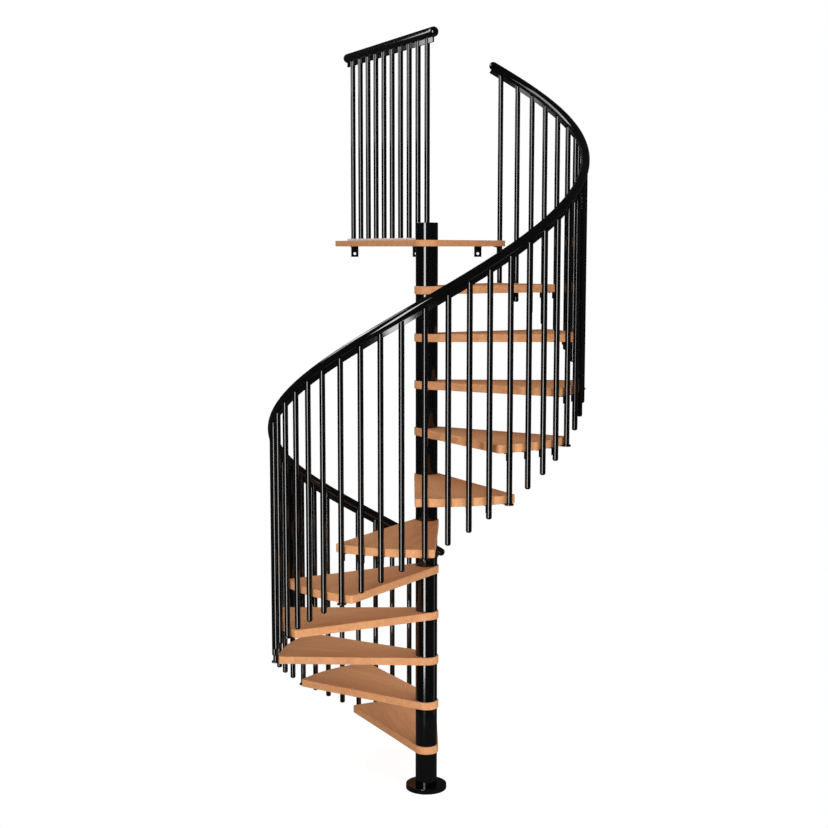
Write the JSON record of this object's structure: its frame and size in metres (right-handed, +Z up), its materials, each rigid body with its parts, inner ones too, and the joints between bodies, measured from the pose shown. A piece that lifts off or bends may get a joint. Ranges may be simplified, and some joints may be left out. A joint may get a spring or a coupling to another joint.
{
  "type": "spiral staircase",
  "caption": "Modular spiral stair with oak wedge treads and landing on a black steel column, with round-bar balustrades and a helical handrail.",
  "frame": {"origin": "centre of the base flange's underside, on the floor", "axes": "+Z up the column; +Y towards the landing's straight back edge, which meets the upper floor; the stair climbs counter-clockwise seen from above"},
  "size_m": [1.4598, 1.7069, 3.533],
  "materials": {
    "black_paint": "gloss black powder coat on steel",
    "oak": "lacquered oak staves, satin",
    "black_rail": "gloss black moulded handrail",
    "pale_strip": "satin aluminium flat bar"
  },
  "bodies": {
    "root": {"base_flange": "black_paint", "centre_pole": "black_paint", "column_spacers": "black_paint", "column_post": "black_paint", "landing_brackets": "black_paint", "balusters_01": "black_paint", "balusters_02": "black_paint", "balusters_03": "black_paint", "balusters_04": "black_paint", "balusters_05": "black_paint", "balusters_06": "black_paint", "balusters_07": "black_paint", "balusters_08": "black_paint", "balusters_09": "black_paint", "balusters_10": "black_paint", "balusters_11": "black_paint", "end_baluster": "black_paint", "baluster_clips": "black_paint", "baluster_feet": "black_paint", "handrail_band": "black_paint", "landing_balusters": "black_paint", "landing_band": "black_paint", "tread_01": "oak", "tread_02": "oak", "tread_03": "oak", "tread_04": "oak", "tread_05": "oak", "tread_06": "oak", "tread_07": "oak", "tread_08": "oak", "tread_09": "oak", "tread_10": "oak", "tread_11": "oak", "landing": "oak", "handrail": "black_rail", "handrail_caps": "black_rail", "landing_handrail": "black_rail", "landing_handrail_caps": "black_rail", "landing_strip": "pale_strip"}
  },
  "joints": []
}
